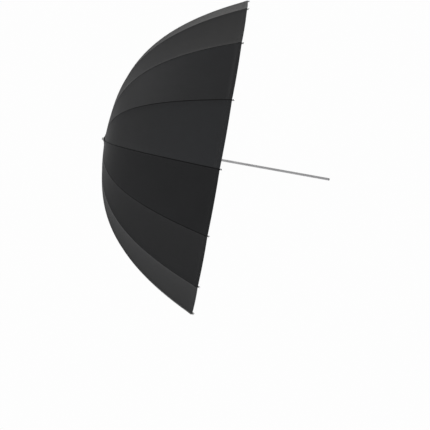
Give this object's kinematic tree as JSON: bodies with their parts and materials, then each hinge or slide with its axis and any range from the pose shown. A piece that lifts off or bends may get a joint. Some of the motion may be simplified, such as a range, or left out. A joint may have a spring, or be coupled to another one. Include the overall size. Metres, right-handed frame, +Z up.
{
  "type": "umbrella reflector",
  "caption": "Folding reflector umbrella for studio light: a deep sewn canopy on sprung ribs, with stretchers, a sliding runner and a plain round shaft that a bracket clamps.",
  "frame": {"origin": "on the shaft's axis, at the point that a bracket clamps", "axes": "+X along the shaft from the canopy's apex to the shaft's free end, +Z up through rib 1, -Y towards the side that is seen"},
  "size_m": [0.7607, 1.0514, 1.0514],
  "materials": {
    "canopy_cloth": "black woven nylon outside, white coated inside",
    "shaft_steel": "plated steel, satin",
    "bright_metal": "polished plating",
    "black_plastic": "moulded, low sheen",
    "rod_fibreglass": "black drawn fibreglass rod with plated fittings",
    "stretcher_steel": "black enamel on pressed steel",
    "spring_steel": "plain spring steel",
    "grip_plastic": "soft touch"
  },
  "bodies": {
    "shaft": {"shaft_tube": "shaft_steel", "shaft_end_cap": "black_plastic", "cross_pins": "bright_metal", "top_rosette": "canopy_cloth", "top_washer": "black_plastic", "tip_ferrule": "bright_metal", "top_notch": "black_plastic", "notch_wire": "bright_metal"},
    "runner": {"runner": "black_plastic", "runner_wire": "bright_metal", "runner_grip": "grip_plastic"},
    "catch": {"catch": "spring_steel"},
    "rib_01": {"rib_01": "rod_fibreglass", "canopy_01": "canopy_cloth"},
    "stretcher_01": {"stretcher_01": "stretcher_steel"},
    "rib_02": {"rib_02": "rod_fibreglass", "canopy_02": "canopy_cloth"},
    "stretcher_02": {"stretcher_02": "stretcher_steel"},
    "rib_03": {"rib_03": "rod_fibreglass", "canopy_03": "canopy_cloth"},
    "stretcher_03": {"stretcher_03": "stretcher_steel"},
    "rib_04": {"rib_04": "rod_fibreglass", "canopy_04": "canopy_cloth"},
    "stretcher_04": {"stretcher_04": "stretcher_steel"},
    "rib_05": {"rib_05": "rod_fibreglass", "canopy_05": "canopy_cloth"},
    "stretcher_05": {"stretcher_05": "stretcher_steel"},
    "rib_06": {"rib_06": "rod_fibreglass", "canopy_06": "canopy_cloth"},
    "stretcher_06": {"stretcher_06": "stretcher_steel"},
    "rib_07": {"rib_07": "rod_fibreglass", "canopy_07": "canopy_cloth"},
    "stretcher_07": {"stretcher_07": "stretcher_steel"},
    "rib_08": {"rib_08": "rod_fibreglass", "canopy_08": "canopy_cloth"},
    "stretcher_08": {"stretcher_08": "stretcher_steel"},
    "rib_09": {"rib_09": "rod_fibreglass", "canopy_09": "canopy_cloth"},
    "stretcher_09": {"stretcher_09": "stretcher_steel"},
    "rib_10": {"rib_10": "rod_fibreglass", "canopy_10": "canopy_cloth"},
    "stretcher_10": {"stretcher_10": "stretcher_steel"},
    "rib_11": {"rib_11": "rod_fibreglass", "canopy_11": "canopy_cloth"},
    "stretcher_11": {"stretcher_11": "stretcher_steel"},
    "rib_12": {"rib_12": "rod_fibreglass", "canopy_12": "canopy_cloth"},
    "stretcher_12": {"stretcher_12": "stretcher_steel"},
    "rib_13": {"rib_13": "rod_fibreglass", "canopy_13": "canopy_cloth"},
    "stretcher_13": {"stretcher_13": "stretcher_steel"},
    "rib_14": {"rib_14": "rod_fibreglass", "canopy_14": "canopy_cloth"},
    "stretcher_14": {"stretcher_14": "stretcher_steel"},
    "rib_15": {"rib_15": "rod_fibreglass", "canopy_15": "canopy_cloth"},
    "stretcher_15": {"stretcher_15": "stretcher_steel"},
    "rib_16": {"rib_16": "rod_fibreglass", "canopy_16": "canopy_cloth"},
    "stretcher_16": {"stretcher_16": "stretcher_steel"}
  },
  "joints": [
    {"name": "runner_slide", "type": "slide", "parent": "shaft", "child": "runner", "axis": [1, 0, 0], "range_m": [0, 0.3272], "deforming": ["canopy_01", "canopy_02", "canopy_03", "canopy_04", "canopy_05", "canopy_06", "canopy_07", "canopy_08", "canopy_09", "canopy_10", "canopy_11", "canopy_12", "canopy_13", "canopy_14", "canopy_15", "canopy_16"]},
    {"name": "catch_press", "type": "hinge", "parent": "shaft", "child": "catch", "pos_m": [-0.44603, 0, 0], "axis": [0, -1, 0], "range_deg": [0, 3.87], "stiffness_Nm_per_rad": 0.3, "deforming": ["catch"]},
    {"name": "rib_01_fold", "type": "hinge", "parent": "shaft", "child": "rib_01", "pos_m": [-0.6602, 0, 0.013], "axis": [0, 1, 0], "range_deg": [0, 51.78]},
    {"name": "stretcher_01_fold", "type": "hinge", "parent": "rib_01", "child": "stretcher_01", "pos_m": [-0.5985, 0, 0.25575], "axis": [0, -1, 0], "range_deg": [0, 103.56]},
    {"name": "rib_02_fold", "type": "hinge", "parent": "shaft", "child": "rib_02", "pos_m": [-0.6602, -0.00497, 0.01201], "axis": [0, 0.9239, 0.3827], "range_deg": [0, 51.78]},
    {"name": "stretcher_02_fold", "type": "hinge", "parent": "rib_02", "child": "stretcher_02", "pos_m": [-0.5985, -0.09787, 0.23629], "axis": [0, -0.9239, -0.3827], "range_deg": [0, 103.56]},
    {"name": "rib_03_fold", "type": "hinge", "parent": "shaft", "child": "rib_03", "pos_m": [-0.6602, -0.00919, 0.00919], "axis": [0, 0.7071, 0.7071], "range_deg": [0, 51.78]},
    {"name": "stretcher_03_fold", "type": "hinge", "parent": "rib_03", "child": "stretcher_03", "pos_m": [-0.5985, -0.18085, 0.18085], "axis": [0, -0.7071, -0.7071], "range_deg": [0, 103.56]},
    {"name": "rib_04_fold", "type": "hinge", "parent": "shaft", "child": "rib_04", "pos_m": [-0.6602, -0.01201, 0.00497], "axis": [0, 0.3827, 0.9239], "range_deg": [0, 51.78]},
    {"name": "stretcher_04_fold", "type": "hinge", "parent": "rib_04", "child": "stretcher_04", "pos_m": [-0.5985, -0.23629, 0.09787], "axis": [0, -0.3827, -0.9239], "range_deg": [0, 103.56]},
    {"name": "rib_05_fold", "type": "hinge", "parent": "shaft", "child": "rib_05", "pos_m": [-0.6602, -0.013, 0], "axis": [0, 0, 1], "range_deg": [0, 51.78]},
    {"name": "stretcher_05_fold", "type": "hinge", "parent": "rib_05", "child": "stretcher_05", "pos_m": [-0.5985, -0.25575, 0], "axis": [0, 0, -1], "range_deg": [0, 103.56]},
    {"name": "rib_06_fold", "type": "hinge", "parent": "shaft", "child": "rib_06", "pos_m": [-0.6602, -0.01201, -0.00497], "axis": [0, -0.3827, 0.9239], "range_deg": [0, 51.78]},
    {"name": "stretcher_06_fold", "type": "hinge", "parent": "rib_06", "child": "stretcher_06", "pos_m": [-0.5985, -0.23629, -0.09787], "axis": [0, 0.3827, -0.9239], "range_deg": [0, 103.56]},
    {"name": "rib_07_fold", "type": "hinge", "parent": "shaft", "child": "rib_07", "pos_m": [-0.6602, -0.00919, -0.00919], "axis": [0, -0.7071, 0.7071], "range_deg": [0, 51.78]},
    {"name": "stretcher_07_fold", "type": "hinge", "parent": "rib_07", "child": "stretcher_07", "pos_m": [-0.5985, -0.18085, -0.18085], "axis": [0, 0.7071, -0.7071], "range_deg": [0, 103.56]},
    {"name": "rib_08_fold", "type": "hinge", "parent": "shaft", "child": "rib_08", "pos_m": [-0.6602, -0.00497, -0.01201], "axis": [0, -0.9239, 0.3827], "range_deg": [0, 51.78]},
    {"name": "stretcher_08_fold", "type": "hinge", "parent": "rib_08", "child": "stretcher_08", "pos_m": [-0.5985, -0.09787, -0.23629], "axis": [0, 0.9239, -0.3827], "range_deg": [0, 103.56]},
    {"name": "rib_09_fold", "type": "hinge", "parent": "shaft", "child": "rib_09", "pos_m": [-0.6602, 0, -0.013], "axis": [0, -1, 0], "range_deg": [0, 51.78]},
    {"name": "stretcher_09_fold", "type": "hinge", "parent": "rib_09", "child": "stretcher_09", "pos_m": [-0.5985, 0, -0.25575], "axis": [0, 1, 0], "range_deg": [0, 103.56]},
    {"name": "rib_10_fold", "type": "hinge", "parent": "shaft", "child": "rib_10", "pos_m": [-0.6602, 0.00497, -0.01201], "axis": [0, -0.9239, -0.3827], "range_deg": [0, 51.78]},
    {"name": "stretcher_10_fold", "type": "hinge", "parent": "rib_10", "child": "stretcher_10", "pos_m": [-0.5985, 0.09787, -0.23629], "axis": [0, 0.9239, 0.3827], "range_deg": [0, 103.56]},
    {"name": "rib_11_fold", "type": "hinge", "parent": "shaft", "child": "rib_11", "pos_m": [-0.6602, 0.00919, -0.00919], "axis": [0, -0.7071, -0.7071], "range_deg": [0, 51.78]},
    {"name": "stretcher_11_fold", "type": "hinge", "parent": "rib_11", "child": "stretcher_11", "pos_m": [-0.5985, 0.18085, -0.18085], "axis": [0, 0.7071, 0.7071], "range_deg": [0, 103.56]},
    {"name": "rib_12_fold", "type": "hinge", "parent": "shaft", "child": "rib_12", "pos_m": [-0.6602, 0.01201, -0.00497], "axis": [0, -0.3827, -0.9239], "range_deg": [0, 51.78]},
    {"name": "stretcher_12_fold", "type": "hinge", "parent": "rib_12", "child": "stretcher_12", "pos_m": [-0.5985, 0.23629, -0.09787], "axis": [0, 0.3827, 0.9239], "range_deg": [0, 103.56]},
    {"name": "rib_13_fold", "type": "hinge", "parent": "shaft", "child": "rib_13", "pos_m": [-0.6602, 0.013, 0], "axis": [0, 0, -1], "range_deg": [0, 51.78]},
    {"name": "stretcher_13_fold", "type": "hinge", "parent": "rib_13", "child": "stretcher_13", "pos_m": [-0.5985, 0.25575, 0], "axis": [0, 0, 1], "range_deg": [0, 103.56]},
    {"name": "rib_14_fold", "type": "hinge", "parent": "shaft", "child": "rib_14", "pos_m": [-0.6602, 0.01201, 0.00497], "axis": [0, 0.3827, -0.9239], "range_deg": [0, 51.78]},
    {"name": "stretcher_14_fold", "type": "hinge", "parent": "rib_14", "child": "stretcher_14", "pos_m": [-0.5985, 0.23629, 0.09787], "axis": [0, -0.3827, 0.9239], "range_deg": [0, 103.56]},
    {"name": "rib_15_fold", "type": "hinge", "parent": "shaft", "child": "rib_15", "pos_m": [-0.6602, 0.00919, 0.00919], "axis": [0, 0.7071, -0.7071], "range_deg": [0, 51.78]},
    {"name": "stretcher_15_fold", "type": "hinge", "parent": "rib_15", "child": "stretcher_15", "pos_m": [-0.5985, 0.18085, 0.18085], "axis": [0, -0.7071, 0.7071], "range_deg": [0, 103.56]},
    {"name": "rib_16_fold", "type": "hinge", "parent": "shaft", "child": "rib_16", "pos_m": [-0.6602, 0.00497, 0.01201], "axis": [0, 0.9239, -0.3827], "range_deg": [0, 51.78]},
    {"name": "stretcher_16_fold", "type": "hinge", "parent": "rib_16", "child": "stretcher_16", "pos_m": [-0.5985, 0.09787, 0.23629], "axis": [0, -0.9239, 0.3827], "range_deg": [0, 103.56]}
  ],
  "couplings": [
    {"joint": "rib_01_fold", "follows": "runner_slide", "rad_per_m": 2.7593},
    {"joint": "stretcher_01_fold", "follows": "runner_slide", "rad_per_m": 5.5185},
    {"joint": "rib_02_fold", "follows": "runner_slide", "rad_per_m": 2.7593},
    {"joint": "stretcher_02_fold", "follows": "runner_slide", "rad_per_m": 5.5185},
    {"joint": "rib_03_fold", "follows": "runner_slide", "rad_per_m": 2.7593},
    {"joint": "stretcher_03_fold", "follows": "runner_slide", "rad_per_m": 5.5185},
    {"joint": "rib_04_fold", "follows": "runner_slide", "rad_per_m": 2.7593},
    {"joint": "stretcher_04_fold", "follows": "runner_slide", "rad_per_m": 5.5185},
    {"joint": "rib_05_fold", "follows": "runner_slide", "rad_per_m": 2.7593},
    {"joint": "stretcher_05_fold", "follows": "runner_slide", "rad_per_m": 5.5185},
    {"joint": "rib_06_fold", "follows": "runner_slide", "rad_per_m": 2.7593},
    {"joint": "stretcher_06_fold", "follows": "runner_slide", "rad_per_m": 5.5185},
    {"joint": "rib_07_fold", "follows": "runner_slide", "rad_per_m": 2.7593},
    {"joint": "stretcher_07_fold", "follows": "runner_slide", "rad_per_m": 5.5185},
    {"joint": "rib_08_fold", "follows": "runner_slide", "rad_per_m": 2.7593},
    {"joint": "stretcher_08_fold", "follows": "runner_slide", "rad_per_m": 5.5185},
    {"joint": "rib_09_fold", "follows": "runner_slide", "rad_per_m": 2.7593},
    {"joint": "stretcher_09_fold", "follows": "runner_slide", "rad_per_m": 5.5185},
    {"joint": "rib_10_fold", "follows": "runner_slide", "rad_per_m": 2.7593},
    {"joint": "stretcher_10_fold", "follows": "runner_slide", "rad_per_m": 5.5185},
    {"joint": "rib_11_fold", "follows": "runner_slide", "rad_per_m": 2.7593},
    {"joint": "stretcher_11_fold", "follows": "runner_slide", "rad_per_m": 5.5185},
    {"joint": "rib_12_fold", "follows": "runner_slide", "rad_per_m": 2.7593},
    {"joint": "stretcher_12_fold", "follows": "runner_slide", "rad_per_m": 5.5185},
    {"joint": "rib_13_fold", "follows": "runner_slide", "rad_per_m": 2.7593},
    {"joint": "stretcher_13_fold", "follows": "runner_slide", "rad_per_m": 5.5185},
    {"joint": "rib_14_fold", "follows": "runner_slide", "rad_per_m": 2.7593},
    {"joint": "stretcher_14_fold", "follows": "runner_slide", "rad_per_m": 5.5185},
    {"joint": "rib_15_fold", "follows": "runner_slide", "rad_per_m": 2.7593},
    {"joint": "stretcher_15_fold", "follows": "runner_slide", "rad_per_m": 5.5185},
    {"joint": "rib_16_fold", "follows": "runner_slide", "rad_per_m": 2.7593},
    {"joint": "stretcher_16_fold", "follows": "runner_slide", "rad_per_m": 5.5185}
  ]
}
